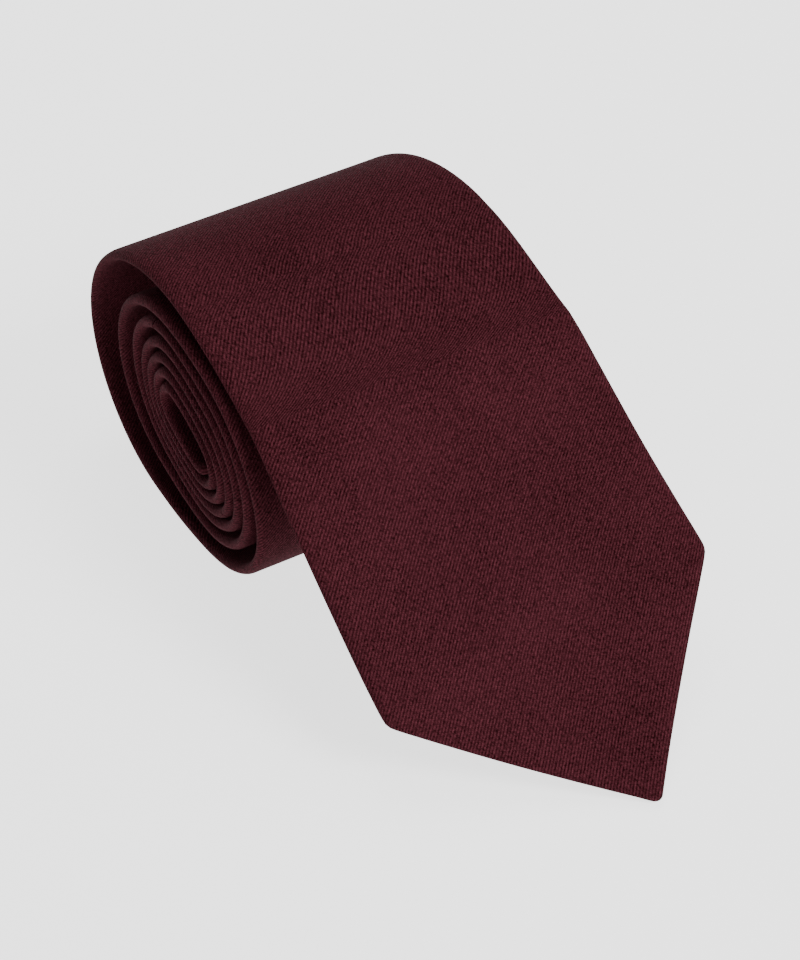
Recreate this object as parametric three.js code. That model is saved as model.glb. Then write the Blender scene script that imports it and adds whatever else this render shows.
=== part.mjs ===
// A rolled necktie: the narrow tail is wound inside, the broad front blade leaves the roll and its point
// rests on the surface. Millimetres. The tie is described flat, by three flat-pattern coordinates:
//   along  - distance from the point of the front blade, up the tie
//   across - distance from the tie's centre line
//   depth  - distance below the face that shows, towards the back with the seam
// and `place` then carries a flat point to where the rolled tie holds it.
// +X runs along the roll's axis, the blade points to -Y and +Z is up.
import * as THREE from 'three';

// ---- the flat tie ----
const BLADE_WIDTH = 85;
const NECK_WIDTH = 38;
const TAIL_WIDTH = 44;
const NECK_AT = 760; // where the tie is narrowest
const TAPER_POWER = 1.35; // above 1, the blade tapers faster than the neck
const POINT_BLUNT = 2.4; // the pressed point is this far short of sharp

// ---- cloth and layers ----
const SHELL = 0.45;
const LINING = 1.2;
const GAP = 0.3; // air between two layers that touch
const EDGE_ROUND = 1.2; // roll of the folded edge
const SEAM_HALF = 0.55; // half the slot where the two back edges meet
const THREAD = 0.5;
const SUNK = 0.1; // a thread in a slot lies this far below both faces of the cloth

// ---- the back of the tie ----
const BLADE_HEM = 9;
const TAIL_HEM = 6;
const APEX_CLEAR = 7; // the blade's back edges meet this far short of the bend
const TAIL_APEX = 62; // where the tail's back edges meet, from its point
const LINING_INSET = 8; // the interlining stops this short of each point
const BLADE_PANEL = 575; // the blade panel ends here, in a seam
const NECK_PANEL = 215;
const SEAM_ALLOWANCE = 1.1; // slot between two panels, which holds the seam's thread
const LINING_JOIN = 640;
const TAIL_SPLIT = 935; // the tail panel is two nodes, because collision needs simple shapes
const TIPPING = 0.3;
const TIPPING_START = 2; // satin starts this far above the hem's corner
const BLADE_TIPPING_STOP = 3; // and stops this far short of where the back edges meet
const TAIL_TIPPING_STOP = 8;
const SEAM_INSET = 2; // a panel seam's thread stops this short of the folded edges
const BLADE_TACK = { before: 1, half: 4 };
const TAIL_TACK = { after: 6, half: 1.2 };
const SLIP_CLEAR = 2; // the slip stitch stops this short of the bend and of the tail's opening
const LABEL = { at: 166, long: 21, wide: 52, thick: 0.4 };
const KEEPER = { at: 214, long: 12, wide: 48, thick: 0.8, stand: 1.5, foot: 4.5, rise: 3 };
const CARE_LABEL = { at: 246, long: 16, wide: 24, thick: 0.4 };
const STITCH_INSET = 1.5; // from a label's end to its line of stitches
const STITCH_MARGIN = 1; // from a label's edge to the first stitch

// ---- the roll ----
const TURNS = 7.1;
const LAYER_AIR = 0.75; // between one turn and the next
const CORE_AIR = 0.2; // added round the oval at the heart of the roll
const CORE_HALF_HEIGHT = 1.2;
const STEP_DEG = 20; // one fold of the faceted roll
const LEAVE_DEG = 40; // slope of the blade where it leaves the roll
const LAND_DEG = 11; // slope of the blade at its point
const BLADE_REACH = 123.5; // from the roll's centre to the blade's point
const BLADE_FOLDS = 10;

// ---- how the turns lie beside each other ----
const FLUSH_EDGE = 2.1; // the roll's left edges stand this far inside half the blade's width
const BLADE_SWING = 3.4; // the blade's point swings to the right as it leaves the roll
const SWING_FADE = 100;
const CORE_OUT = 2.6; // the heart of the roll stands out to the left
const SKEW_DEG = 5.8; // turn of the blade's point in its own plane

const THICK = 2 * SHELL + 2 * GAP + LINING;
const PITCH = THICK + LAYER_AIR;
const TIP = BLADE_WIDTH / 2; // a right-angled point is half as long as it is wide
const radians = THREE.MathUtils.degToRad;

// How the roll's shape changes, from its outer turn in to its heart:
// turns wound in, slack, half-length of the oval, tilt of the oval, its centre forward and up.
const SHAPE = [
  [0.0, 8.0, 12.5, -20, 6.0, 32.0],
  [0.3, 7.4, 12.5, -2, -0.6, 32.8],
  [0.6, 8.1, 10.8, 6, -2.8, 35.8],
  [0.8, 5.8, 9.6, -1, 0.2, 36.5],
  [1.0, 3.0, 7.2, -7, 3.0, 36.2],
  [1.5, 1.8, 8.8, -7, 3.1, 36.8],
  [2.0, 0.6, 8.1, -12, 4.8, 37.7],
  [2.5, 0.1, 7.5, -14.5, 5.9, 38.0],
  [3.5, 0.0, 7.0, -17.5, 6.5, 38.1],
  [TURNS, 0.0, 7.0, -18.5, 6.5, 38.0],
];

// A smooth curve through one column of SHAPE
function shapeAt(column, turn) {
  const last = SHAPE.length - 1;
  const slope = (i) => {
    if (i === 0 || i === last) return 0;
    return (SHAPE[i + 1][column] - SHAPE[i - 1][column]) / (SHAPE[i + 1][0] - SHAPE[i - 1][0]);
  };
  let i = 0;
  while (i < last - 1 && turn > SHAPE[i + 1][0]) i += 1;
  const run = SHAPE[i + 1][0] - SHAPE[i][0];
  const t = (turn - SHAPE[i][0]) / run;
  const rise = SHAPE[i + 1][column] - SHAPE[i][column];
  const ease = t * t * (3 - 2 * t);
  const startPull = t * (1 - t) * (1 - t) * run * slope(i);
  const endPull = t * t * (1 - t) * run * slope(i + 1);
  return SHAPE[i][column] + rise * ease + startPull - endPull;
}

// A point of the roll's outer face, forward and up. Each turn is an oval grown outward by `grow`,
// found by the direction its face looks in, so one turn lies parallel to the next.
const LEAVE_LOOK = 90 - LEAVE_DEG;
function rollPoint(lookDeg) {
  const turn = (lookDeg - LEAVE_LOOK) / 360;
  const grow = THICK + CORE_AIR + PITCH * (TURNS - turn) + shapeAt(1, turn);
  const half = shapeAt(2, turn);
  const tilt = radians(shapeAt(3, turn));
  const look = radians(lookDeg);
  const own = look - tilt;
  const size = Math.hypot(half * Math.cos(own), CORE_HALF_HEIGHT * Math.sin(own));
  const oval = new THREE.Vector2(half ** 2 * Math.cos(own), CORE_HALF_HEIGHT ** 2 * Math.sin(own));
  oval.divideScalar(size).rotateAround(new THREE.Vector2(), tilt);
  const centre = new THREE.Vector2(shapeAt(4, turn), shapeAt(5, turn));
  return centre.add(oval).add(new THREE.Vector2(grow * Math.cos(look), grow * Math.sin(look)));
}

// The side view of the face that shows: the blade from its point up to the roll, then the roll.
// The roll's own weight presses the fold between its two lowest looks flat, at height 0.
function sideView() {
  const looks = [];
  const end = LEAVE_LOOK + 360 * TURNS;
  const firstFold = STEP_DEG * Math.ceil(LEAVE_LOOK / STEP_DEG + 0.5);
  for (let look = firstFold; look < end - STEP_DEG / 2; look += STEP_DEG) looks.push(look);
  const lowest = [270 - STEP_DEG / 2, 270 + STEP_DEG / 2];
  const foot = Math.min(...lowest.map((look) => rollPoint(look).y));
  const roll = [LEAVE_LOOK, ...looks, end].map((look) => {
    const p = rollPoint(look);
    p.y = lowest.includes(look) ? 0 : Math.max(p.y - foot, 0);
    return p;
  });

  const leave = radians(LEAVE_DEG);
  const land = radians(LAND_DEG);
  const start = roll[0];
  const point = new THREE.Vector2(BLADE_REACH, THICK * Math.cos(land));
  const ahead = point.x - start.x;
  const drop = start.y - point.y;
  const pull = (drop * Math.cos(land) - ahead * Math.sin(land)) / Math.sin(leave - land);
  const knee = new THREE.Vector2(start.x + pull * Math.cos(leave), start.y - pull * Math.sin(leave));
  const blade = new THREE.QuadraticBezierCurve(point, knee, start).getSpacedPoints(BLADE_FOLDS);
  return { points: [...blade, ...roll.slice(1)], bend: BLADE_FOLDS };
}

const side = sideView();
const folds = side.points.map((p, i) => {
  const before = side.points[Math.max(i - 1, 0)];
  const after = side.points[Math.min(i + 1, side.points.length - 1)];
  const a = i === 0 ? after.clone().sub(p) : p.clone().sub(before);
  const b = i === side.points.length - 1 ? a.clone() : after.clone().sub(p);
  a.normalize();
  b.normalize();
  // inward across the fold, long enough that both of its flats stay parallel
  const inward = new THREE.Vector2(-a.y - b.y, a.x + b.x).normalize();
  inward.divideScalar(inward.dot(new THREE.Vector2(-a.y, a.x)));
  return { p, inward, along: 0 };
});
for (let i = 1; i < folds.length; i += 1) {
  folds[i].along = folds[i - 1].along + folds[i].p.distanceTo(folds[i - 1].p);
}
const BEND_AT = folds[side.bend].along;
const BLADE_APEX = BEND_AT - APEX_CLEAR;
const TIE_LENGTH = folds[folds.length - 1].along;
const TAIL_TIP = TAIL_WIDTH / 2;

// ---- widths and edges, along the flat tie ----
function fullWidth(along) {
  if (along < NECK_AT) {
    const left = (NECK_AT - Math.max(along, TIP)) / (NECK_AT - TIP);
    return NECK_WIDTH + (BLADE_WIDTH - NECK_WIDTH) * left ** TAPER_POWER;
  }
  const run = TIE_LENGTH - TAIL_TIP - NECK_AT;
  return NECK_WIDTH + (TAIL_WIDTH - NECK_WIDTH) * Math.min((along - NECK_AT) / run, 1);
}

const halfWidth = (along) => Math.min(fullWidth(along) / 2, along, TIE_LENGTH - along);

function centreLine(along) {
  const swing = BLADE_SWING * Math.exp(-(along - TIP) / SWING_FADE);
  const out = CORE_OUT * (along / TIE_LENGTH);
  const a = Math.max(along, TIP);
  const swingThere = BLADE_SWING * Math.exp(-(a - TIP) / SWING_FADE);
  const straight = FLUSH_EDGE - BLADE_WIDTH / 2 + fullWidth(a) / 2 + swingThere - out;
  // below the shoulders the point keeps the direction that the blade has there
  return along < TIP ? straight + (TIP - along) * Math.tan(radians(SKEW_DEG)) : straight + swing - swingThere;
}

// Half the opening between the two back edges: a slot along the seam, and a V down to each point
function backOpening(along) {
  const fromTail = TIE_LENGTH - along;
  const openUp = (from, tip, hem, apex) => {
    const inHem = Math.min(from, tip) - hem * Math.SQRT2;
    const closing = Math.min((apex - from) / (apex - tip), 1);
    return inHem * closing;
  };
  const blade = openUp(along, TIP, BLADE_HEM, BLADE_APEX);
  const tail = openUp(fromTail, TAIL_TIP, TAIL_HEM, TAIL_APEX);
  return Math.max(blade, tail, SEAM_HALF);
}

// Carries a flat point to its place on the rolled tie
function place(along, across, depth) {
  const settle = THREE.MathUtils.smoothstep(BEND_AT - along, 0, BEND_AT - TIP);
  const at = THREE.MathUtils.clamp(along + across * Math.tan(radians(SKEW_DEG)) * settle, 0, TIE_LENGTH);
  let i = 0;
  while (i < folds.length - 2 && at > folds[i + 1].along) i += 1;
  const t = (at - folds[i].along) / (folds[i + 1].along - folds[i].along);
  const low = folds[i].p.clone().addScaledVector(folds[i].inward, depth);
  const high = folds[i + 1].p.clone().addScaledVector(folds[i + 1].inward, depth);
  const p = low.lerp(high, t);
  return new THREE.Vector3(centreLine(along) + across, -p.x, p.y);
}

// ---- solids ----
const CLOSEST_STATIONS = 0.2; // a station nearer than this to an end is left out

// Sweeps a closed section, given as [across, depth] points, from one place along the tie to another
function sweep(from, to, section, extra = []) {
  const inside = (a) => a > from + CLOSEST_STATIONS && a < to - CLOSEST_STATIONS;
  const between = [...folds.map((f) => f.along), ...extra].filter(inside);
  const stations = [from, ...between.sort((a, b) => a - b), to];
  const rings = stations.map((along) => section(along).map(([across, depth]) => place(along, across, depth)));
  const count = rings[0].length;
  const index = [];
  for (let r = 0; r < rings.length - 1; r += 1) {
    for (let k = 0; k < count; k += 1) {
      const a = r * count + k;
      const b = r * count + ((k + 1) % count);
      index.push(a, b, b + count, a, b + count, a + count);
    }
  }
  const outline = (along) => section(along).map(([across, depth]) => new THREE.Vector2(across, depth));
  const lastRing = (rings.length - 1) * count;
  for (const [a, b, c] of THREE.ShapeUtils.triangulateShape(outline(from), [])) index.push(c, b, a);
  for (const [a, b, c] of THREE.ShapeUtils.triangulateShape(outline(to), [])) {
    index.push(lastRing + a, lastRing + b, lastRing + c);
  }
  const geometry = new THREE.BufferGeometry().setFromPoints(rings.flat());
  geometry.setIndex(index);
  return geometry;
}

// A flat strip between two depths, with its edges given by the left and right distances
const strip = (from, to, left, right, top, bottom, extra) =>
  sweep(from, to, (s) => [[left(s), top], [right(s), top], [right(s), bottom], [left(s), bottom]], extra);

const bar = (at, long, left, right, top, thick) =>
  strip(at, at + long, () => left, () => right, top, top + thick);

// The folded tube of outer cloth, open along the seam of its back
function shellSection(along) {
  const half = halfWidth(along);
  const open = backOpening(along);
  const turn = half - EDGE_ROUND;
  const inner = half - SHELL;
  const right = [[open, THICK], [turn, THICK], [half, THICK / 2], [turn, 0]];
  const left = [[-turn, 0], [-half, THICK / 2], [-turn, THICK], [-open, THICK]];
  const leftIn = [[-open, THICK - SHELL], [-turn, THICK - SHELL], [-inner, THICK / 2], [-turn, SHELL]];
  const rightIn = [[turn, SHELL], [inner, THICK / 2], [turn, THICK - SHELL], [open, THICK - SHELL]];
  return [...right, ...left, ...leftIn, ...rightIn].reverse();
}

const pointStations = [4.5, 8, 13, 20, 30, TIP, 70];
const tailStations = [TAIL_APEX, TAIL_TIP, 15, 9, 5].map((a) => TIE_LENGTH - a);
const shell = (from, to) => sweep(from, to, shellSection, [...pointStations, ...tailStations]);

const LINING_SIDE = EDGE_ROUND + GAP;
const liningTop = SHELL + GAP;
const liningHalf = (along) => halfWidth(along) - LINING_SIDE;
const interlining = (from, to) =>
  strip(from, to, (s) => -liningHalf(s), liningHalf, liningTop, liningTop + LINING, [
    ...pointStations,
    ...tailStations,
  ]);

// The satin that closes the V opening at the back of each point
const tippingHalf = (along) => backOpening(along) - GAP;
const tipping = (from, to) =>
  strip(from, to, (s) => -tippingHalf(s), tippingHalf, THICK - SHELL, THICK - SHELL + TIPPING, [
    ...pointStations,
    ...tailStations,
  ]);

// A piece sewn flat on the back of the tie
const onBack = (part) => bar(part.at, part.long, -part.wide / 2, part.wide / 2, THICK + GAP, part.thick);

// The line of stitches along one short end of a label: hand is -1 on the left and 1 on the right
function labelStitches(part, hand) {
  const middle = hand * (part.wide / 2 - STITCH_INSET);
  const top = THICK + 2 * GAP + part.thick;
  const long = part.long - 2 * STITCH_MARGIN;
  return bar(part.at + STITCH_MARGIN, long, middle - THREAD / 2, middle + THREAD / 2, top, GAP);
}

function keeperSection() {
  const half = KEEPER.wide / 2;
  const top = THICK + GAP;
  const crown = THICK + KEEPER.stand;
  const foot = half - KEEPER.foot;
  const step = foot - KEEPER.rise;
  const near = [[-half, top], [-foot, top], [-step, crown], [step, crown], [foot, top], [half, top]];
  const far = near.map(([across, depth]) => [across, depth + KEEPER.thick]).reverse();
  return [...near, ...far];
}

function keeperTack(hand) {
  const middle = hand * (KEEPER.wide - KEEPER.foot) / 2;
  const top = THICK + 2 * GAP + KEEPER.thick;
  const long = KEEPER.long - 2 * STITCH_INSET;
  return bar(KEEPER.at + STITCH_INSET, long, middle - THREAD, middle + THREAD, top, THREAD);
}

// The line of thread that holds two panels together, across the face
function panelSeam(at) {
  const half = halfWidth(at) - SEAM_INSET;
  return bar(at + GAP, SEAM_ALLOWANCE - 2 * GAP, -half, half, SUNK, SHELL - 2 * SUNK);
}

// ---- the assembly ----
const WINE = { color: 0x471c23, roughness: 0.85, metalness: 0 };
const SATIN = { color: 0x35141b, roughness: 0.45, metalness: 0 };
const WOOL = { color: 0xcfc6b4, roughness: 1, metalness: 0 };
const WINE_THREAD = { color: 0x5a2230, roughness: 0.7, metalness: 0 };
const LABEL_WEAVE = { color: 0x1f1417, roughness: 0.55, metalness: 0 };
const CARE_WEAVE = { color: 0xe4e0d8, roughness: 0.6, metalness: 0 };

const tie = new THREE.Group();
function add(name, geometry, look) {
  const mesh = new THREE.Mesh(geometry, new THREE.MeshStandardMaterial(look));
  mesh.name = name;
  tie.add(mesh);
}

const neckFrom = BLADE_PANEL + SEAM_ALLOWANCE;
const neckTo = neckFrom + NECK_PANEL;
const tailFrom = neckTo + SEAM_ALLOWANCE;
const tailApexAt = TIE_LENGTH - TAIL_APEX;
const bladeTippingFrom = BLADE_HEM * Math.SQRT2 + TIPPING_START;
const tailTippingTo = TIE_LENGTH - TAIL_HEM * Math.SQRT2 - TIPPING_START;
const stitchTop = THICK - SHELL + SUNK;

add('blade_shell_free', shell(POINT_BLUNT, BEND_AT - GAP / 2), WINE);
add('blade_shell_rolled', shell(BEND_AT + GAP / 2, BLADE_PANEL), WINE);
add('neck_shell', shell(neckFrom, neckTo), WINE);
add('tail_shell_outer', shell(tailFrom, TAIL_SPLIT), WINE);
add('tail_shell_core', shell(TAIL_SPLIT + GAP, TIE_LENGTH - POINT_BLUNT), WINE);
add('blade_interlining_free', interlining(LINING_INSET, BEND_AT - GAP / 2), WOOL);
add('blade_interlining_rolled', interlining(BEND_AT + GAP / 2, LINING_JOIN), WOOL);
add('tail_interlining', interlining(LINING_JOIN + GAP, TIE_LENGTH - LINING_INSET), WOOL);
add('blade_tipping', tipping(bladeTippingFrom, BLADE_APEX - BLADE_TIPPING_STOP), SATIN);
add('tail_tipping', tipping(tailApexAt + TAIL_TIPPING_STOP, tailTippingTo), SATIN);
add('slip_stitch', strip(BEND_AT + SLIP_CLEAR, tailApexAt - SLIP_CLEAR, () => -THREAD / 2, () => THREAD / 2,
  stitchTop, THICK - SUNK), WINE_THREAD);
add('blade_bar_tack', bar(BLADE_APEX - BLADE_TACK.before, 2 * THREAD, -BLADE_TACK.half, BLADE_TACK.half,
  THICK + GAP, THREAD), WINE_THREAD);
add('tail_bar_tack', bar(tailApexAt + TAIL_TACK.after, 2 * THREAD, -TAIL_TACK.half, TAIL_TACK.half,
  stitchTop, SHELL - 2 * SUNK), WINE_THREAD);
add('blade_neck_seam', panelSeam(BLADE_PANEL), WINE_THREAD);
add('neck_tail_seam', panelSeam(neckTo), WINE_THREAD);
add('keeper_loop', sweep(KEEPER.at, KEEPER.at + KEEPER.long, keeperSection), WINE);
add('blank_label', onBack(LABEL), LABEL_WEAVE);
add('care_label', onBack(CARE_LABEL), CARE_WEAVE);
for (const [hand, end] of [[-1, 'left'], [1, 'right']]) {
  add(`keeper_tack_${end}`, keeperTack(hand), WINE_THREAD);
  add(`blank_label_stitch_${end}`, labelStitches(LABEL, hand), WINE_THREAD);
  add(`care_label_stitch_${end}`, labelStitches(CARE_LABEL, hand), WINE_THREAD);
}

// the origin is under the middle of the whole rolled tie, on the surface it lies on
const box = new THREE.Box3().setFromObject(tie);
const middle = box.getCenter(new THREE.Vector3());
tie.position.set(-middle.x, -middle.y, -box.min.z);

export default tie;
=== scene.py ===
# A rolled necktie: smooth cloth, lining, satin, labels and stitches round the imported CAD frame.
#
# The tie is described flat, as in its CAD, in millimetres:
#   along  - distance from the point of the front blade, up the tie
#   across - distance from the tie's centre line, positive to the right
#   depth  - distance below the face that shows, towards the back with the seam
# place() carries flat points to the rolled tie, in the row frame and in metres.
import math

import bpy
import numpy as np
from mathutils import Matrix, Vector


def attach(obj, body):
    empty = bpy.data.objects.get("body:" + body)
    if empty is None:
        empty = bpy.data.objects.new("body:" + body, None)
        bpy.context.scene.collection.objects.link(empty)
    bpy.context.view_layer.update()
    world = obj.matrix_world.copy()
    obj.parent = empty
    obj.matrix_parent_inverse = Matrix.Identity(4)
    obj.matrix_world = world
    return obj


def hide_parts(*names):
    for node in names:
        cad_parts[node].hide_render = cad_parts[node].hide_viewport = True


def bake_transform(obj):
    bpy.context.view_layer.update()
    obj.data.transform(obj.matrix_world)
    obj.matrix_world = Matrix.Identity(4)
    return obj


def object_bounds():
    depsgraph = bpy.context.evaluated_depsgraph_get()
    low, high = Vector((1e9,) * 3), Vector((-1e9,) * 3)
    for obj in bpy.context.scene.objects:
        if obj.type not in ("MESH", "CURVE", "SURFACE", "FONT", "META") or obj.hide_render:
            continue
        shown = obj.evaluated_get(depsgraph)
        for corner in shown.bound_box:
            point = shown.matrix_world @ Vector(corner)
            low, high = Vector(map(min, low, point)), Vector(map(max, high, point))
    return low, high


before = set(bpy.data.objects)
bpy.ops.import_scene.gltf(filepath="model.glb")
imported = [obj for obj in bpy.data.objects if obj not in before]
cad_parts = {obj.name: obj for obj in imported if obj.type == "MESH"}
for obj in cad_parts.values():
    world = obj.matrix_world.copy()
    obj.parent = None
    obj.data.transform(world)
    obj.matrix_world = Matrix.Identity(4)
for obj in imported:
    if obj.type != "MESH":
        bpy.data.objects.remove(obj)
CAD_LOW, CAD_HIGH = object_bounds()
MM = 0.001

# ---- driving dimensions of the flat tie, as in the CAD ----
BLADE_WIDTH = 85.0
NECK_WIDTH = 38.0
TAIL_WIDTH = 44.0
NECK_AT = 760.0  # where the tie is narrowest
TAPER_POWER = 1.35
SHELL = 0.45  # thickness of the outer cloth
LINING = 1.2
GAP = 0.3  # air between two layers
THICK = 2 * SHELL + 2 * GAP + LINING
SEAM_HALF = 0.25  # the back edges lie closer than in the CAD, beside the slip stitch
MITRE_HALF = 0.05  # and they touch in the mitre below each opening
BLADE_HEM = 9.0
TAIL_HEM = 6.0
APEX_CLEAR = 7.0  # the blade's back edges meet this far short of the bend
TAIL_APEX = 62.0  # the tail's back edges meet this far from its point
LINING_INSET = 8.0
BLADE_PANEL = 575.0
NECK_PANEL = 215.0
SEAM_ALLOWANCE = 1.1
LINING_JOIN = 640.0

# ---- driving dimensions of the roll, as in the CAD ----
TURNS = 7.1
LAYER_AIR = 0.75
PITCH = THICK + LAYER_AIR
CORE_AIR = 0.2
CORE_HALF_HEIGHT = 1.2
STEP_DEG = 20
LEAVE_DEG = 40.0  # how steeply the blade leaves the roll
LAND_DEG = 11.0  # and how steeply its point meets the surface
BLADE_REACH = 123.5
FLUSH_EDGE = 2.1
BLADE_SWING = 3.4  # how far the free blade drifts to the right
SWING_FADE = 100.0
CORE_OUT = 2.6  # how far the core stands out past the outer turn
SKEW = math.tan(math.radians(5.8))  # the blade leaves the roll at a slight angle
TIP = BLADE_WIDTH / 2
TAIL_TIP = TAIL_WIDTH / 2

# turns wound in, slack, half-length of the oval, its tilt, its centre forward and up
SHAPE = np.array([
    [0.0, 6.5, 12.0, -19, 5.8, 32.4],
    [0.3, 7.6, 12.5, -2, -0.6, 33.0],
    [0.6, 8.1, 10.8, 6, -2.8, 35.8],
    [0.8, 5.8, 9.6, -1, 0.2, 36.5],
    [1.0, 3.0, 7.2, -7, 3.0, 36.2],
    [1.5, 1.8, 8.8, -7, 3.1, 36.8],
    [2.0, 0.6, 8.1, -12, 4.8, 37.7],
    [2.5, 0.1, 7.5, -14.5, 5.9, 38.0],
    [3.5, 0.0, 7.0, -17.5, 6.5, 38.1],
    [TURNS, 0.0, 7.0, -18.5, 6.5, 38.0],
])

# ---- looks of the cloth ----
EDGE_ROLL = 1.8  # how far in the roll of a folded edge reaches, inside the roll
SOFT_EDGE_ROLL = 3.4  # the same, on the free blade and the outer turn
POINT_ROLL = 1.7  # the same, at the tie's points
POINT_ROUND = 1.8  # radius of the tie's point
SHOULDER_ROUND = 1.0
SOFT_UNTIL = 280.0  # the soft edges reach this far along the tie
SOFT_FADE = 120.0
FOOT_SINK = 0.25  # how far the roll's weight presses its underside in
FOOT_EASE = 0.25  # how softly the underside turns flat
CLOTH_SPLIT = 300.0  # the blade's cloth is cut here, under the roll, into its free end and its rolled part

# ---- how finely the side view is drawn ----
BLADE_POINTS = 401  # along the free blade
FOLD_POINTS = 12  # for each fold of the CAD roll
UNDERSIDE_LOOKS = np.linspace(230.0, 310.0, 81)
RUN_OUT = 8.0  # the side view carries on straight past the blade's point
BEND = BLADE_POINTS  # index of the bend: the run-out comes before the free blade


def ease(t):
    """A smooth step from 0 to 1."""
    return t * t * (3 - 2 * t)


def shape_at(column, turn):
    """A smooth curve through one column of SHAPE."""
    x, y = SHAPE[:, 0], SHAPE[:, column]
    slope = np.zeros(len(x))
    slope[1:-1] = (y[2:] - y[:-2]) / (x[2:] - x[:-2])
    i = np.clip(np.searchsorted(x, turn, side="left") - 1, 0, len(x) - 2)
    run = x[i + 1] - x[i]
    t = (turn - x[i]) / run
    start_pull = t * (1 - t) ** 2 * run * slope[i]
    end_pull = t * t * (1 - t) * run * slope[i + 1]
    return y[i] + (y[i + 1] - y[i]) * ease(t) + start_pull - end_pull


LEAVE_LOOK = 90 - LEAVE_DEG
END_LOOK = LEAVE_LOOK + 360 * TURNS


def roll_point(look_deg):
    """Points of the roll's outer face, forward and up, by the direction that the face looks in."""
    turn = (look_deg - LEAVE_LOOK) / 360
    grow = THICK + CORE_AIR + PITCH * (TURNS - turn) + shape_at(1, turn)
    half = shape_at(2, turn)
    tilt = np.radians(shape_at(3, turn))
    look = np.radians(look_deg)
    c, s = half * np.cos(look - tilt), CORE_HALF_HEIGHT * np.sin(look - tilt)
    size = np.hypot(c, s)
    u, v = half * c / size, CORE_HALF_HEIGHT * s / size
    forward = shape_at(4, turn) + u * np.cos(tilt) - v * np.sin(tilt) + grow * np.cos(look)
    up = shape_at(5, turn) + u * np.sin(tilt) + v * np.cos(tilt) + grow * np.sin(look)
    return np.stack([forward, up], -1)


def fold_looks():
    """The directions at which the faceted CAD roll has its folds."""
    first = STEP_DEG * math.ceil(LEAVE_LOOK / STEP_DEG + 0.5)
    folds = np.arange(first, END_LOOK - STEP_DEG / 2, STEP_DEG)
    return np.concatenate([[LEAVE_LOOK], folds, [END_LOOK]])


def walked_along(path):
    """How far along a path each of its points is."""
    return np.concatenate([[0], np.cumsum(np.linalg.norm(np.diff(path, axis=0), axis=1))])


def side_view():
    """The smooth side view of the tie's face, forward and up, and how far along each point is."""
    looks = fold_looks()
    steps = np.linalg.norm(np.diff(roll_point(looks), axis=0), axis=1)
    foot = roll_point(UNDERSIDE_LOOKS)[:, 1].min() + FOOT_SINK

    leave, land = math.radians(LEAVE_DEG), math.radians(LAND_DEG)
    start = roll_point(looks[:1])[0] - [0, foot]
    point = np.array([BLADE_REACH, THICK * math.cos(land)])
    ahead, drop = point[0] - start[0], start[1] - point[1]
    pull = (drop * math.cos(land) - ahead * math.sin(land)) / math.sin(leave - land)
    knee = start + pull * np.array([math.cos(leave), -math.sin(leave)])
    t = np.linspace(0, 1, BLADE_POINTS)[:, None]
    blade = (1 - t) ** 2 * point + 2 * t * (1 - t) * knee + t * t * start
    blade_along = walked_along(blade)

    # between two folds, distance along the tie grows with the look
    fine_looks, fine_along = [], []
    here = blade_along[-1]
    for a, b, step in zip(looks[:-1], looks[1:], steps):
        share = np.arange(1, FOLD_POINTS + 1) / FOLD_POINTS
        fine_looks.append(a + (b - a) * share)
        fine_along.append(here + step * share)
        here += step
    roll = roll_point(np.concatenate(fine_looks))
    height = roll[:, 1] - foot
    roll[:, 1] = (height + np.sqrt(height ** 2 + FOOT_EASE ** 2)) / 2

    last_step = point - blade[1]
    past_point = point + last_step / np.linalg.norm(last_step) * RUN_OUT
    points = np.concatenate([[past_point], blade, roll])
    along = np.concatenate([[-RUN_OUT], blade_along, *fine_along])
    return points, along


CURVE, CURVE_ALONG = side_view()
BEND_AT = CURVE_ALONG[BEND]
TIE_LENGTH = CURVE_ALONG[-1]
BLADE_APEX = BEND_AT - APEX_CLEAR
TANGENT = np.gradient(CURVE, CURVE_ALONG, axis=0)
TANGENT /= np.linalg.norm(TANGENT, axis=1)[:, None]
INWARD = np.stack([-TANGENT[:, 1], TANGENT[:, 0]], -1)


# ---- widths and edges, along the flat tie ----
def full_width(along):
    left = np.clip((NECK_AT - np.maximum(along, TIP)) / (NECK_AT - TIP), 0, 1)
    blade = NECK_WIDTH + (BLADE_WIDTH - NECK_WIDTH) * left ** TAPER_POWER
    run = TIE_LENGTH - TAIL_TIP - NECK_AT
    tail = NECK_WIDTH + (TAIL_WIDTH - NECK_WIDTH) * np.clip((along - NECK_AT) / run, 0, 1)
    return np.where(along < NECK_AT, blade, tail)


def soft_min(a, b, rounding):
    return (a + b - np.sqrt((a - b) ** 2 + rounding ** 2)) / 2


POINT_CUT = POINT_ROUND * (math.sqrt(2) - 1)  # how much the round tip takes off the sharp point


def pointed(distance):
    """Half the width of a right-angled, round-tipped point, by distance from its sharp corner."""
    reach = np.clip(POINT_CUT + POINT_ROUND - distance, 0, POINT_ROUND)
    rounded = np.sqrt(np.maximum(POINT_ROUND ** 2 - reach ** 2, 0))
    tangent = POINT_CUT + POINT_ROUND * (1 - math.sqrt(0.5))
    return np.where(distance < tangent, rounded, distance)


def half_width(along):
    half = full_width(along) / 2
    half = soft_min(half, pointed(along), SHOULDER_ROUND)
    return soft_min(half, pointed(TIE_LENGTH - along), SHOULDER_ROUND)


def centre_line(along):
    a = np.maximum(along, TIP)
    out = CORE_OUT * (along / TIE_LENGTH)
    swing = BLADE_SWING * np.exp(-(a - TIP) / SWING_FADE)
    straight = FLUSH_EDGE - BLADE_WIDTH / 2 + full_width(a) / 2 + swing - out
    return straight + np.maximum(TIP - along, 0) * SKEW


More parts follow.
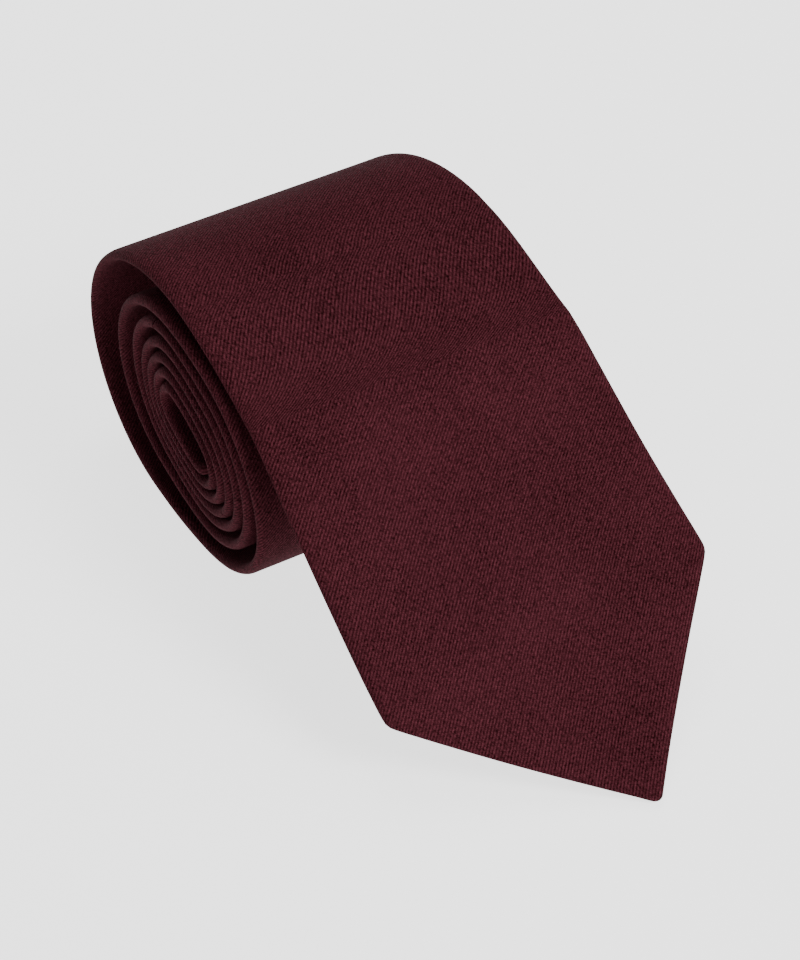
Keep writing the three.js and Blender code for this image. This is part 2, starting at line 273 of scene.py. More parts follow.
def back_opening(along):
    def open_up(distance, tip, hem, apex):
        in_hem = np.minimum(distance, tip) - hem * math.sqrt(2)
        return in_hem * np.minimum((apex - distance) / (apex - tip), 1)
    blade = open_up(along, TIP, BLADE_HEM, BLADE_APEX)
    tail = open_up(TIE_LENGTH - along, TAIL_TIP, TAIL_HEM, TAIL_APEX)
    blade_mitre = along < BLADE_HEM * math.sqrt(2)
    tail_mitre = TIE_LENGTH - along < TAIL_HEM * math.sqrt(2)
    closed = np.where(blade_mitre | tail_mitre, MITRE_HALF, SEAM_HALF)
    return np.maximum(np.maximum(blade, tail), closed)


# ---- from the flat tie to the rolled one ----
SHIFT_X = CAD_HIGH.x / MM - (centre_line(np.array(TIP)) + TIP)
SHIFT_Y = CAD_HIGH.y / MM + roll_point(np.array(180.0))[0]


ROLL_UNEVEN = 0.06  # height of the hills in the roll
BLADE_UNEVEN = 0.16  # how much higher they are on the free blade
UNEVEN_FADE = 9.0


def unevenness(along, across):
    """Slow hills and hollows of handled cloth, calmer in the roll than on the free blade."""
    free = 1 / (1 + np.exp((along - BEND_AT) / UNEVEN_FADE))
    hills = (
        0.50 * np.sin(along / 11.3 + across / 17.0 + 0.8)
        + 0.32 * np.sin(along / 7.1 - across / 12.0 + 2.1)
        + 0.18 * np.sin(along / 4.7 + across / 6.3 + 4.0)
    )
    return hills * (ROLL_UNEVEN + BLADE_UNEVEN * free)


def place(along, across, depth):
    """Flat points, in millimetres, to points on the rolled tie, in metres."""
    along, across, depth = np.broadcast_arrays(along, across, depth)
    settle = np.clip((BEND_AT - along) / (BEND_AT - TIP), 0, 1)
    at = along + across * SKEW * ease(settle)
    depth = depth + unevenness(along, across)
    forward, up = (
        np.interp(at, CURVE_ALONG, CURVE[:, k]) + np.interp(at, CURVE_ALONG, INWARD[:, k]) * depth
        for k in (0, 1)
    )
    x = centre_line(along) + across + SHIFT_X
    return np.stack([x, SHIFT_Y - forward, up], -1) * MM


# ---- meshes ----
SHEET_SHARP_DEG = 48
THREAD_SHARP_DEG = 80


def mesh_piece(name, points, faces, uv, material, sharp_deg):
    """One mesh object from points, quads, and a flat-pattern coordinate at each point."""
    mesh = bpy.data.meshes.new(name)
    mesh.from_pydata(points.reshape(-1, 3).tolist(), [], faces)
    layer = mesh.uv_layers.new(name="flat")
    corners = np.zeros(len(mesh.loops), dtype=np.int32)
    mesh.loops.foreach_get("vertex_index", corners)
    layer.data.foreach_set("uv", uv.reshape(-1, 2)[corners].astype(np.float32).ravel())
    mesh.polygons.foreach_set("use_smooth", np.ones(len(mesh.polygons), dtype=bool))
    mesh.set_sharp_from_angle(angle=math.radians(sharp_deg))
    mesh.materials.append(material)
    obj = bpy.data.objects.new(name, mesh)
    bpy.context.scene.collection.objects.link(obj)
    return obj


def ring_faces(rings, count):
    """Quads of a swept closed section whose second half runs back beside its first, ends closed."""
    faces = []
    for r in range(rings - 1):
        a, b = r * count, (r + 1) * count
        for k in range(count):
            n = (k + 1) % count
            faces.append((a + k, a + n, b + n, b + k))
    last = (rings - 1) * count
    for k in range(count // 2 - 1):
        far, near = count - 1 - k, count - 2 - k
        faces.append((k, far, near, k + 1))
        faces.append((last + k, last + k + 1, last + near, last + far))
    return faces


def swept(name, along, across, depth, material):
    """A section swept along the tie: one row of across and depth for each station along."""
    stations = np.broadcast_to(np.asarray(along)[:, None], across.shape)
    points = place(stations, across, depth)
    steps = np.hypot(np.diff(across, axis=1), np.diff(depth, axis=1))
    half = across.shape[1] // 2
    widths = np.cumsum(steps[:, :half - 1], axis=1)
    unfolded = np.concatenate([np.zeros((len(along), 1)), widths], axis=1)
    unfolded -= unfolded[:, [half // 2]]
    unfolded = np.concatenate([unfolded, unfolded[:, ::-1]], axis=1)
    uv = np.stack([stations, -unfolded], -1)
    return mesh_piece(name, points, ring_faces(*across.shape), uv, material, SHEET_SHARP_DEG)


def stations(start, end, step, extra=()):
    """Stations from start to end, about step apart, with some places named exactly."""
    marks = sorted({start, end, *[e for e in extra if start < e < end]})
    runs = [
        np.linspace(a, b, max(2, math.ceil((b - a) / step) + 1))[:-1]
        for a, b in zip(marks, marks[1:])
    ]
    return np.concatenate([*runs, [end]])


EDGE_STEPS = 8
FRONT_STEPS = 52
BACK_STEPS = 12
FRONT_CROWDING = 0.35  # how much closer the front's columns stand near the edges


def tube_skin(half, lean, opening, roll, thick_half, middle):
    """One skin of the folded tube, from the right back edge round the front to the left one."""
    turn = np.linspace(0, np.pi / 2, EDGE_STEPS + 1)
    in_edge = 1 - np.cos(turn)
    reach = np.minimum(roll / lean, 0.9 * half)[:, None]
    edge = half[:, None] - reach * in_edge
    bulge = thick_half[:, None] * np.sin(turn)
    inner = edge[:, -1:]
    back_share = np.arange(1, BACK_STEPS + 1) / BACK_STEPS
    back = inner - (inner - np.minimum(opening[:, None], inner)) * back_share
    front_share = np.arange(1, FRONT_STEPS) / FRONT_STEPS
    crowded, even = inner * np.cos(np.pi * front_share), inner * (1 - 2 * front_share)
    front = FRONT_CROWDING * crowded + (1 - FRONT_CROWDING) * even
    full = thick_half[:, None]
    right = np.concatenate([back[:, ::-1], edge[:, ::-1], edge[:, 1:]], axis=1)
    right_depth = [np.repeat(full, BACK_STEPS, 1), bulge[:, ::-1], -bulge[:, 1:]]
    right_depth = np.concatenate(right_depth, axis=1)
    front_depth = np.repeat(-full, FRONT_STEPS - 1, 1)
    across = np.concatenate([right, front, -right[:, ::-1]], axis=1)
    depth = np.concatenate([right_depth, front_depth, right_depth[:, ::-1]], axis=1)
    return across, depth + middle


def edge_roll(along):
    soft = np.clip((SOFT_UNTIL - along) / SOFT_FADE, 0, 1)
    return EDGE_ROLL + (SOFT_EDGE_ROLL - EDGE_ROLL) * ease(soft)


NARROW_POINT = 6.0  # below this half-width the back opening is kept within the point


def cloth_tube(name, start, end, step, material, extra=()):
    """The outer cloth: a tube folded to a flat tie, open along the seam of its back."""
    along = stations(start, end, step, extra)
    half = half_width(along)
    slope = np.abs(half_width(along + 0.05) - half_width(along - 0.05)) / 0.1
    lean = 1 / np.hypot(1, np.minimum(slope, 1))
    from_end = np.minimum(along, TIE_LENGTH - along) - POINT_CUT
    near = 1 - np.clip(from_end / POINT_ROLL, 0.02, 1)
    thick_half = THICK / 2 * np.sqrt(1 - near ** 2)
    opening = back_opening(along)
    opening = np.where(half > NARROW_POINT, opening, np.minimum(opening, 0.5 * half))
    outer = tube_skin(half, lean, opening, edge_roll(along), thick_half, THICK / 2)
    inner_half = np.maximum(half - SHELL / lean, 0.4 * half)
    inner_thick = np.maximum(thick_half - SHELL, 0.05)
    inner_roll = edge_roll(along) - SHELL / 2
    inner = tube_skin(inner_half, lean, opening, inner_roll, inner_thick, THICK / 2)
    across = np.concatenate([outer[0], inner[0][:, ::-1]], axis=1)
    depth = np.concatenate([outer[1], inner[1][:, ::-1]], axis=1)
    return swept(name, along, across, depth, material)


def slab(name, along, left, right, top, bottom, columns, material):
    """A flat layer with rounded long edges, between two depths."""
    thick_half = (bottom - top) / 2
    turn = np.linspace(0, np.pi / 2, 4)
    left, right = np.broadcast_to(left, along.shape), np.broadcast_to(right, along.shape)
    inset = thick_half * (1 - np.cos(turn))
    bulge = np.concatenate([np.sin(turn), np.ones(columns - 1), np.sin(turn)[::-1]])
    share = np.arange(1, columns) / columns
    a, b = left[:, None] + inset, right[:, None] - inset[::-1]
    between = a[:, -1:] + (b[:, :1] - a[:, -1:]) * share
    row = np.concatenate([a, between, b], axis=1)
    across = np.concatenate([row[:, ::-1], row], axis=1)
    middle = (top + bottom) / 2
    line = np.concatenate([middle - thick_half * bulge[::-1], middle + thick_half * bulge])
    depth = np.broadcast_to(line, across.shape).copy()
    return swept(name, along, across, depth, material)


TWIST = 6.0  # radians of twist for each millimetre of thread
PLY_DEPTH = 0.16


def thread(path, radius, sides=8):
    """A thread through flat points (along, across, depth): a two-ply tube with rounded ends."""
    path = np.asarray(path, float)
    points = place(path[:, 0], path[:, 1], path[:, 2]) / MM
    line = np.gradient(points, axis=0)
    line /= np.linalg.norm(line, axis=1)[:, None]
    across = np.cross(line, [0.37, 0.61, 0.7])
    across /= np.linalg.norm(across, axis=1)[:, None]
    up = np.cross(line, across)
    walked = walked_along(points)
    from_end = np.minimum(walked, walked[-1] - walked)
    swell = radius * np.sqrt(1 - (1 - np.clip(from_end / radius, 0.06, 1)) ** 2)
    around = 2 * np.pi * np.arange(sides) / sides
    ply = 1 + PLY_DEPTH * np.cos(2 * around[None, :] - TWIST * walked[:, None])
    ring = swell[:, None] * ply
    rings = (points[:, None] + across[:, None] * (ring * np.cos(around))[..., None]
             + up[:, None] * (ring * np.sin(around))[..., None])
    uv = np.stack([np.broadcast_to(walked[:, None], ring.shape),
                   np.broadcast_to(around * radius, ring.shape)], -1)
    return rings * MM, uv


def thread_piece(name, strands, material):
    """One mesh of several separate threads."""
    points, uvs, faces, base = [], [], [], 0
    for rings, uv in strands:
        count = rings.shape[1]
        faces += [tuple(base + k for k in face) for face in ring_faces(*rings.shape[:2])]
        base += rings.shape[0] * count
        points.append(rings.reshape(-1, 3))
        uvs.append(uv.reshape(-1, 2))
    points, uvs = np.concatenate(points), np.concatenate(uvs)
    return mesh_piece(name, points, faces, uvs, material, THREAD_SHARP_DEG)


# ---- node helpers ----
class Nodes:
    """Short calls that add shader nodes to one new material."""

    def __init__(self, name):
        self.material = bpy.data.materials.new(name)
        self.material.use_nodes = True
        self.tree = self.material.node_tree
        self.shader = self.tree.nodes["Principled BSDF"]

    def add(self, kind, **values):
        node = self.tree.nodes.new(kind)
        for key, value in values.items():
            setattr(node, key, value)
        return node

    def feed(self, socket, value):
        if isinstance(value, bpy.types.NodeSocket):
            self.tree.links.new(value, socket)
        else:
            socket.default_value = value

    def math(self, operation, a, b=0.0):
        node = self.add("ShaderNodeMath", operation=operation)
        self.feed(node.inputs[0], a)
        self.feed(node.inputs[1], b)
        return node.outputs[0]

    def flat(self):
        """The flat-pattern coordinates, along and across, in millimetres."""
        split = self.add("ShaderNodeSeparateXYZ")
        self.feed(split.inputs[0], self.add("ShaderNodeUVMap", uv_map="flat").outputs[0])
        return split.outputs[0], split.outputs[1]

    def vector(self, x, y, z=0.0):
        node = self.add("ShaderNodeCombineXYZ")
        for socket, value in zip(node.inputs, (x, y, z)):
            self.feed(socket, value)
        return node.outputs[0]

    def noise(self, vector, scale, detail=2.0, roughness=0.5):
        node = self.add("ShaderNodeTexNoise", noise_dimensions="3D")
        self.feed(node.inputs["Vector"], vector)
        node.inputs["Scale"].default_value = scale
        node.inputs["Detail"].default_value = detail
        node.inputs["Roughness"].default_value = roughness
        return node.outputs["Fac"]

    def range(self, value, low, high, new_low, new_high):
        node = self.add("ShaderNodeMapRange")
        for socket, v in zip(node.inputs, (value, low, high, new_low, new_high)):
            self.feed(socket, v)
        return node.outputs[0]

    def ramp(self, factor, *stops):
        node = self.add("ShaderNodeValToRGB")
        self.feed(node.inputs[0], factor)
        points = node.color_ramp.elements
        while len(points) < len(stops):
            points.new(0.5)
        for point, (place_at, colour) in zip(points, stops):
            point.position = place_at
            point.color = (*colour, 1)
        return node.outputs[0]

    def bump(self, height, distance):
        node = self.add("ShaderNodeBump")
        self.feed(node.inputs["Height"], height)
        node.inputs["Distance"].default_value = distance
        node.inputs["Strength"].default_value = 1.0
        self.feed(self.shader.inputs["Normal"], node.outputs[0])

    def set(self, **values):
        for key, value in values.items():
            self.feed(self.shader.inputs[key.replace("_", " ")], value)


# ---- materials ----
RIB_MM = 0.68  # from one rib of the twill to the next
FLOAT_MM = 0.42  # length of one float along a rib
FLOAT_SHIFT = 0.37  # how far each rib's floats are shifted from its neighbour's


def twill(name, dark, light):
    """Fine twill cut on the bias: ribs at 45 degrees, each made of short uneven floats; the raised
    floats carry a painted glint, lighter and greyer than the wine.
    """
    n = Nodes(name)
    along, across = n.flat()
    drift = n.noise(n.vector(along, across), 0.03, 1)
    ribs = n.math("MULTIPLY", n.math("SUBTRACT", along, across), math.sqrt(0.5) / RIB_MM)
    ribs = n.math("ADD", ribs, n.math("MULTIPLY", drift, 0.9))
    row = n.math("FLOOR", ribs)
    floats = n.math("MULTIPLY", n.math("ADD", along, across), math.sqrt(0.5) / FLOAT_MM)
    floats = n.math("ADD", floats, n.math("MULTIPLY", row, FLOAT_SHIFT))
    rib_height = n.range(n.math("COSINE", n.math("MULTIPLY", ribs, 2 * math.pi)), 1, -1, 0, 1)
    float_height = n.math("COSINE", n.math("MULTIPLY", floats, 2 * math.pi))
    float_height = n.range(float_height, -1, 1, 0.5, 1)
    weave = n.math("MULTIPLY", rib_height, float_height)
    heather_at = n.vector(n.math("MULTIPLY", row, 5.7), n.math("MULTIPLY", floats, 0.55), 4.0)
    heather = n.range(n.noise(heather_at, 1.0, 1), 0.3, 0.7, 0.2, 1)
    fibre = n.range(n.noise(n.vector(along, across, 2.0), 2.1, 2, 0.7), 0.3, 0.7, 0, 1)
    height = n.math("ADD", n.math("MULTIPLY", weave, heather), n.math("MULTIPLY", fibre, 0.65))
    cloud = n.math("SUBTRACT", n.noise(n.vector(along, across, 9.0), 0.035, 2), 0.5)
    glint_and_mottle = n.math("ADD", n.math("MULTIPLY", height, 0.60), n.math("MULTIPLY", cloud, 0.2))
    # painted glints: the ramp's light end adds grey to the wine on the highest floats; the slow
    # mottle varies at random
    n.set(Base_Color=n.ramp(glint_and_mottle, (0.05, dark), (1.0, light)))
    n.set(Roughness=0.82, Specular_IOR_Level=0.02)
    n.bump(height, 0.00014)
    return n.material


def satin(name, dark, light):
    """Smooth satin lining: long warp floats with a soft gloss."""
    n = Nodes(name)
    along, across = n.flat()
    stretched = n.vector(n.math("MULTIPLY", along, 0.25), n.math("MULTIPLY", across, 4.5))
    lines = n.noise(stretched, 1.0, 3)
    slow = n.noise(n.vector(along, across), 0.06, 2)
    n.set(Base_Color=n.ramp(lines, (0.1, dark), (0.8, light)))
    n.set(Roughness=n.range(slow, 0.3, 0.7, 0.40, 0.52), Specular_IOR_Level=0.12)
    n.bump(lines, 0.00004)
    return n.material


def wool(name):
    """Brushed cream interlining with loose fibres."""
    n = Nodes(name)
    along, across = n.flat()
    fuzz = n.noise(n.vector(n.math("MULTIPLY", along, 1.6), across), 1.3, 5, 0.7)
    weave = n.math("MULTIPLY", n.math("SINE", n.math("MULTIPLY", along, 5.2)),
                   n.math("SINE", n.math("MULTIPLY", across, 5.2)))
    height = n.math("ADD", fuzz, n.math("MULTIPLY", weave, 0.25))
    n.set(Base_Color=n.ramp(fuzz, (0.2, (0.42, 0.37, 0.29)), (0.8, (0.70, 0.65, 0.54))))
    n.set(Roughness=0.95, Specular_IOR_Level=0.1)
    n.bump(height, 0.00025)
    return n.material


def yarn(name, dark, light):
    """Twisted two-ply sewing thread."""
    n = Nodes(name)
    walked, around = n.flat()
    wound = n.math("ADD", n.math("MULTIPLY", walked, 9.0), n.math("MULTIPLY", around, 10.0))
    plies = n.math("COSINE", wound)
    stretched = n.vector(n.math("MULTIPLY", walked, 3.0), n.math("MULTIPLY", around, 12.0))
    fibre = n.noise(stretched, 1.0, 2)
    height = n.math("ADD", n.range(plies, -1, 1, 0, 1), n.math("MULTIPLY", fibre, 0.4))
    n.set(Base_Color=n.ramp(height, (0.1, dark), (1.0, light)), Roughness=0.5)
    n.set(Specular_IOR_Level=0.12)
    n.bump(height, 0.00006)
    return n.material


def label_weave(name, dark, light, warp, weft):
    """Damask label cloth: a close plain weave with slightly shiny yarns."""
    n = Nodes(name)
    along, across = n.flat()
    a = n.math("SINE", n.math("MULTIPLY", along, 2 * math.pi / warp))
    b = n.math("SINE", n.math("MULTIPLY", across, 2 * math.pi / weft))
    height = n.range(n.math("MULTIPLY", a, b), -1, 1, 0, 1)
    stretched = n.vector(n.math("MULTIPLY", along, 1.5), n.math("MULTIPLY", across, 5.0))
    fibre = n.noise(stretched, 1.0, 2)
    height = n.math("ADD", height, n.math("MULTIPLY", fibre, 0.5))
    n.set(Base_Color=n.ramp(height, (0.1, dark), (1.0, light)))
    n.set(Roughness=n.range(fibre, 0.3, 0.7, 0.42, 0.62), Specular_IOR_Level=0.15)
    n.bump(height, 0.00007)
    return n.material


# the twill's light colour is partly painted glint: grey added to the wine for the raised floats
CLOTH = twill("wine_twill", (0.005, 0.0, 0.0), (0.122, 0.0270, 0.0385))
SATIN = satin("wine_satin", (0.022, 0.004, 0.006), (0.060, 0.012, 0.018))
WOOL = wool("cream_interlining")
THREAD = yarn("wine_thread", (0.05, 0.010, 0.014), (0.16, 0.035, 0.05))
LABEL = label_weave("dark_label_weave", (0.008, 0.005, 0.006), (0.035, 0.024, 0.027), 0.5, 0.32)
CARE = label_weave("pale_care_weave", (0.55, 0.52, 0.47), (0.82, 0.79, 0.74), 0.42, 0.42)


# ---- putting pieces on the frame ----
def on_roll(obj, slot, *nodes):
    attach(obj, "roll")
    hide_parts(*nodes)
    return obj


def on_blade(obj, slot, *nodes):
    """For a piece that lies on the roll behind the bend and on the free blade in front of it: hides
    the CAD parts that it stands in for and bakes its placement into its mesh.
    """
    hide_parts(*nodes)
    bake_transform(obj)
    return obj


WIDTH_SAMPLES = 400


def flat_area(start, end, width):
    """Flat area in square metres of a piece of the tie, from a function for its width."""
    step = (end - start) / WIDTH_SAMPLES
    middles = start + step * (np.arange(WIDTH_SAMPLES) + 0.5)
    return float(width(middles).sum() * step) * MM * MM


def declare(start, end, width):
    """Works out what the piece was cut to, its widest width and its true area; neither is kept or
    passed on.
    """
    widest = float(np.max(width(np.linspace(start, end, WIDTH_SAMPLES))))
    area = flat_area(start, end, width)


# ---- the outer cloth ----
BLADE_NECK_SEAM = BLADE_PANEL + SEAM_ALLOWANCE / 2
NECK_TAIL_SEAM = BLADE_NECK_SEAM + NECK_PANEL + SEAM_ALLOWANCE
SEAM_GROOVE = 0.22  # half the groove between two panels, where their seam's thread lies
NECK_FROM, NECK_TO = BLADE_NECK_SEAM + SEAM_GROOVE, NECK_TAIL_SEAM - SEAM_GROOVE
BLADE_TO, TAIL_FROM = BLADE_NECK_SEAM - SEAM_GROOVE, NECK_TAIL_SEAM + SEAM_GROOVE
POINT_START = POINT_CUT + 0.02
POINT_STEPS = (0.05, 0.15, 0.3, 0.5, 0.75, 1.0, 1.4, 1.8)  # closer stations round each point
POINT_MARKS = [POINT_START + step for step in POINT_STEPS]
TAIL_MARKS = [TIE_LENGTH - m for m in POINT_MARKS]


def cloth_width(along):
    """The cut width of the outer cloth: the front, and what is folded to the back."""
    half = half_width(along)
    return 4 * half - 2 * np.minimum(back_opening(along), half)


def outer_cloth():
    blade = cloth_tube("blade_cloth", POINT_START, CLOTH_SPLIT, 1.1, CLOTH, POINT_MARKS)
    on_blade(blade, "outer_cloth", "blade_shell_free")
    declare(POINT_START, CLOTH_SPLIT, cloth_width)
    inner = cloth_tube("blade_cloth_rolled", CLOTH_SPLIT, BLADE_TO, 1.2, CLOTH)
    on_roll(inner, "outer_cloth", "blade_shell_rolled")
    declare(CLOTH_SPLIT, BLADE_TO, cloth_width)
    neck = cloth_tube("neck_cloth", NECK_FROM, NECK_TO, 1.1, CLOTH)
    on_roll(neck, "outer_cloth", "neck_shell")
    declare(NECK_FROM, NECK_TO, cloth_width)
    tail_end = TIE_LENGTH - POINT_START
    tail = cloth_tube("tail_cloth", TAIL_FROM, tail_end, 0.9, CLOTH, TAIL_MARKS)
    on_roll(tail, "outer_cloth", "tail_shell_outer", "tail_shell_core")
    declare(TAIL_FROM, tail_end, cloth_width)


# ---- inside and on the back ----
LINING_TOP = SHELL + GAP
LINING_SIDE = 1.5
LAYER_COLUMNS = 24


def lining_width(along):
    return 2 * (half_width(along) - LINING_SIDE)


def lining(name, start, end):
    along = stations(start, end, 1.5)
    half = lining_width(along) / 2
    return slab(name, along, -half, half, LINING_TOP, LINING_TOP + LINING, LAYER_COLUMNS, WOOL)


def interlinings():
    free = lining("blade_lining", LINING_INSET, CLOTH_SPLIT)
    on_blade(free, "interlining_wool", "blade_interlining_free")
    declare(LINING_INSET, CLOTH_SPLIT, lining_width)
    rolled = lining("blade_lining_rolled", CLOTH_SPLIT, LINING_JOIN)
    on_roll(rolled, "interlining_wool", "blade_interlining_rolled")
    declare(CLOTH_SPLIT, LINING_JOIN, lining_width)
    tail_start, tail_end = LINING_JOIN + GAP, TIE_LENGTH - LINING_INSET
    tail = lining("tail_lining", tail_start, tail_end)
    on_roll(tail, "interlining_wool", "tail_interlining")
    declare(tail_start, tail_end, lining_width)


TIPPING_TOP = LINING_TOP + LINING + 0.04
TIPPING_BOTTOM = THICK - SHELL - 0.03
UNDER_HEM = 3.0  # how far the satin reaches in under the folded back
TIPPING_SIDE = 2.2


def tipping_width(along):
    return 2 * np.minimum(back_opening(along) + UNDER_HEM, half_width(along) - TIPPING_SIDE)


def tippings():
    blade_start, blade_end = BLADE_HEM * math.sqrt(2) - 1, BLADE_APEX + 1
    tail_start, tail_end = TIE_LENGTH - TAIL_APEX - 1, TIE_LENGTH - TAIL_HEM * math.sqrt(2) + 1
    for name, start, end, node, put in (
        ("blade_satin", blade_start, blade_end, "blade_tipping", on_blade),
        ("tail_satin", tail_start, tail_end, "tail_tipping", on_roll),
    ):
        along = stations(start, end, 1.0)
        half = tipping_width(along) / 2
        obj = slab(name, along, -half, half, TIPPING_TOP, TIPPING_BOTTOM, LAYER_COLUMNS, SATIN)
        put(obj, "tipping_satin", node)
        declare(start, end, tipping_width)


LABEL_SIZE = {"at": 166, "long": 21, "wide": 52, "thick": 0.4}
KEEPER = {"at": 214, "long": 12, "wide": 48, "thick": 0.8, "stand": 1.5, "foot": 4.5}
CARE_SIZE = {"at": 246, "long": 16, "wide": 24, "thick": 0.4}
STITCH_INSET = 1.5  # from a label's end to its line of stitches
STITCH_LONG = 1.5
STITCH_PITCH = 2
STITCH_RADIUS = 0.15
SEWING_RADIUS = 0.17


def label(name, size, material, slot, node):
    half = size["wide"] / 2
    top = THICK + GAP
    bottom = top + size["thick"]
    along = stations(size["at"], size["at"] + size["long"], 0.8)
    obj = slab(name, along, -half, half, top, bottom, 30, material)
    on_roll(obj, slot, node)
    for hand, end in ((-1, "left"), (1, "right")):
        strands = []
        t = np.linspace(0, 1, 9)
        across = np.full(len(t), hand * (half - STITCH_INSET))
        depth = bottom + 0.12 - 0.25 * np.abs(2 * t - 1) ** 3
        for k in range(int((size["long"] - 2 * STITCH_LONG) / STITCH_PITCH)):
            at = size["at"] + 1.6 + STITCH_PITCH * k
            path = np.stack([at + STITCH_LONG * t, across, depth], -1)
            strands.append(thread(path, STITCH_RADIUS))
        stitch = thread_piece(f"{node}_stitches_{end}", strands, THREAD)
        on_roll(stitch, "thread", f"{node}_stitch_{end}")


KEEPER_RISE = 3.0  # over this length the loop climbs from its sewn foot to its full stand
TACK_INSET = 1.8  # from the loop's edges to the ends of its tacks


def keeper():
    half = KEEPER["wide"] / 2
    across = np.linspace(half, -half, 61)
    foot = half - KEEPER["foot"]
    crown = ease(np.clip((foot - np.abs(across)) / KEEPER_RISE, 0, 1))
    top = THICK + GAP + (KEEPER["stand"] - GAP) * crown
    along = stations(KEEPER["at"], KEEPER["at"] + KEEPER["long"], 0.5)
    from_edge = np.minimum(along - along[0], along[-1] - along)
    thick_half = KEEPER["thick"] / 2
    near = 1 - np.clip(from_edge / thick_half, 0.1, 1)
    swell = thick_half * np.sqrt(1 - near ** 2)[:, None]
    middle = top + thick_half
    depth = np.concatenate([middle - swell, (middle + swell)[:, ::-1]], axis=1)
    rows = np.concatenate([across, across[::-1]])
    obj = swept("keeper_loop_cloth", along, np.broadcast_to(rows, depth.shape), depth, CLOTH)
    on_roll(obj, "outer_cloth", "keeper_loop")
    for hand, end in ((-1, "left"), (1, "right")):
        middle = hand * (KEEPER["wide"] - KEEPER["foot"]) / 2
        start, long = KEEPER["at"] + TACK_INSET, KEEPER["long"] - 2 * TACK_INSET
        tack = bar_tack(start, long, middle, THICK + GAP + KEEPER["thick"], lengthwise=True)
        piece = thread_piece(f"keeper_loop_tack_{end}", tack, THREAD)
        on_roll(piece, "thread", f"keeper_tack_{end}")


TACK_PITCH = 0.42
TACK_HALF_WIDTH = 0.62
TACK_SLANT = 0.1


def bar_tack(at, long, middle, depth, lengthwise):
    """A close row of short stitches, along the tie or across it."""
    strands = []
    t = np.linspace(-1, 1, 11)
    wide = TACK_HALF_WIDTH * t
    lift = depth + 0.42 - 0.36 * np.abs(t) ** 3
    count = max(4, round(long / TACK_PITCH))
    for k in range(count):
        here = long * (k + 0.5) / count + TACK_SLANT * t
        if lengthwise:
            path = np.stack([at + here, middle + wide, lift], -1)
        else:
            path = np.stack([at + wide, middle - long / 2 + here, lift], -1)
        strands.append(thread(path, SEWING_RADIUS))
    return strands


SLIP_PITCH = 9.0  # one slip stitch from side to side and back
SEAM_WAVE = 2.4  # radians of the seam thread's wave for each millimetre


def seams_and_stitches():
    tail_apex = TIE_LENGTH - TAIL_APEX
    run = np.arange(BEND_AT + 2, tail_apex - 2, 0.5)
    swing = np.clip(1.6 * np.sin(2 * np.pi * run / SLIP_PITCH), -1, 1)
    path = np.stack([run, 0.5 * swing, THICK - 0.24 + 0.3 * np.abs(swing) ** 2], -1)
    slip = thread_piece("slip_stitch_thread", [thread(path, SEWING_RADIUS, sides=6)], THREAD)
    on_roll(slip, "thread", "slip_stitch")
    tack = bar_tack(BLADE_APEX - 0.5, 8, 0, THICK, lengthwise=False)
    on_blade(thread_piece("blade_tack", tack, THREAD), "thread", "blade_bar_tack")
    tack = bar_tack(tail_apex + 6.5, 3, 0, THICK - 0.3, lengthwise=False)
    on_roll(thread_piece("tail_tack", tack, THREAD), "thread", "tail_bar_tack")
    for name, at in (("blade_neck_seam", BLADE_NECK_SEAM), ("neck_tail_seam", NECK_TAIL_SEAM)):
        half = float(half_width(np.array(at))) - 2
        line = np.linspace(-half, half, 160)
        wave = line * SEAM_WAVE
        path = np.stack([at + 0.04 * np.sin(wave), line, 0.22 + 0.08 * np.cos(wave)], -1)
        seam = thread_piece(f"{name}_thread", [thread(path, SEWING_RADIUS)], THREAD)
        on_roll(seam, "thread", name)


# ---- floor, light and camera ----
FLOOR_GLOW = 2.05  # the paper sweep is lit from below, so the shadows on it are faint
FLOOR_SIZE = 6
WORLD_STRENGTH = 0.40


def floor():
    n = Nodes("pale_floor")
    soft = n.noise(n.add("ShaderNodeTexCoord").outputs["Object"], 6.0, 2)
    dark, light = (0.416, 0.418, 0.420), (0.424, 0.426, 0.428)
    n.set(Base_Color=n.ramp(soft, (0.3, dark), (0.7, light)))
    n.set(Roughness=0.9, Specular_IOR_Level=0.0)
    n.set(Emission_Color=(1, 1, 1, 1), Emission_Strength=FLOOR_GLOW)
    bpy.ops.mesh.primitive_plane_add(size=FLOOR_SIZE)
    plane = bpy.context.object
    plane.name = "floor"
    plane.data.materials.append(n.material)


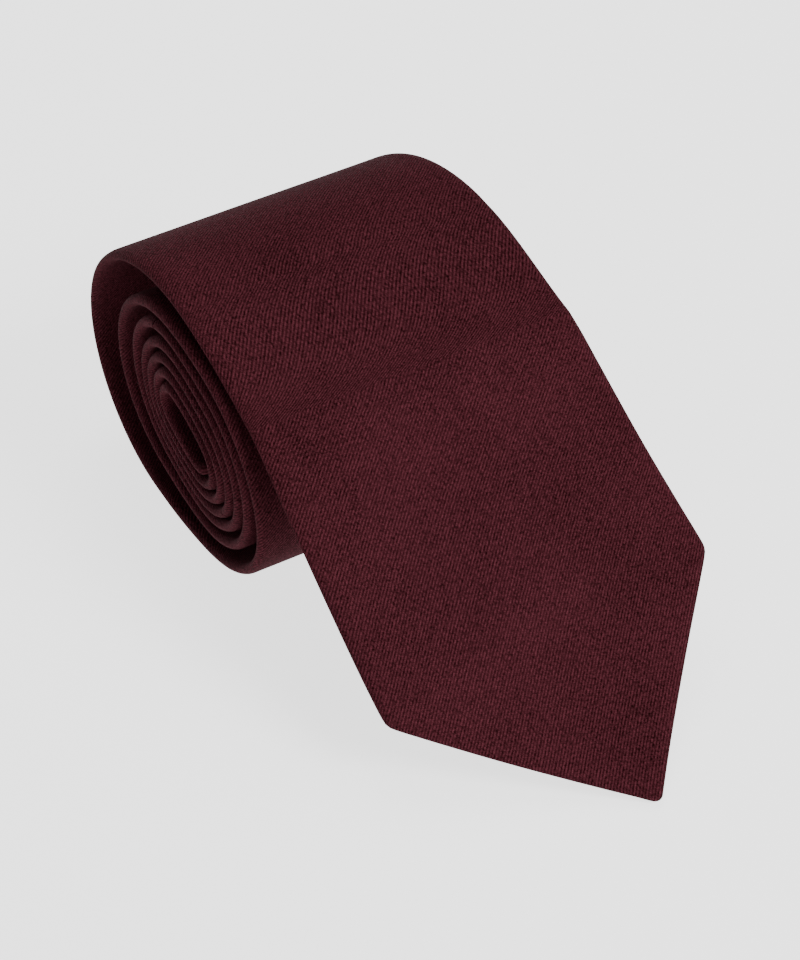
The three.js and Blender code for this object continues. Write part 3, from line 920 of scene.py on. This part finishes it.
def look_rotation(direction):
    return Vector(direction).to_track_quat("-Z", "Y").to_euler()


def area_light(name, at, aim, size, power):
    lamp = bpy.data.lights.new(name, "AREA")
    lamp.shape = "DISK"
    lamp.size = size
    lamp.energy = power
    obj = bpy.data.objects.new(name, lamp)
    obj.location = at
    obj.rotation_euler = look_rotation(np.array(aim) - np.array(at))
    bpy.context.scene.collection.objects.link(obj)


def light():
    world = bpy.data.worlds.new("studio")
    world.use_nodes = True
    background = world.node_tree.nodes["Background"].inputs
    background["Color"].default_value = (1.0, 1.0, 1.0, 1)
    background["Strength"].default_value = WORLD_STRENGTH
    bpy.context.scene.world = world
    middle = (0, 0, 0.03)
    area_light("key", (0.50, -0.85, 0.95), middle, 0.6, 22.0)
    area_light("back", (0.25, 0.6, 1.0), middle, 0.8, 9.0)


# The camera stands where the photo was taken from
CAMERA_DISTANCE = 0.700
CAMERA_AZIMUTH = math.radians(-29.5)
CAMERA_ELEVATION = math.radians(44.2)
CAMERA_LENS = 119.4
AIM_FORWARD = 37.7
AIM_ACROSS = -5.4
AIM_UP = 31.2


def camera():
    aim = np.array([AIM_ACROSS + SHIFT_X, SHIFT_Y - AIM_FORWARD, AIM_UP]) * MM
    back = np.array([
        math.sin(CAMERA_AZIMUTH) * math.cos(CAMERA_ELEVATION),
        -math.cos(CAMERA_AZIMUTH) * math.cos(CAMERA_ELEVATION),
        math.sin(CAMERA_ELEVATION),
    ])
    lens = bpy.data.cameras.new("camera")
    lens.lens = CAMERA_LENS
    lens.sensor_width = 36
    lens.clip_start = 0.01
    obj = bpy.data.objects.new("camera", lens)
    obj.location = aim + back * CAMERA_DISTANCE
    obj.rotation_euler = look_rotation(-back)
    bpy.context.scene.collection.objects.link(obj)
    bpy.context.scene.camera = obj


camera()
light()
floor()
outer_cloth()
interlinings()
tippings()
label("label_cloth", LABEL_SIZE, LABEL, "label_weave", "blank_label")
label("care_cloth", CARE_SIZE, CARE, "care_weave", "care_label")
keeper()
seams_and_stitches()
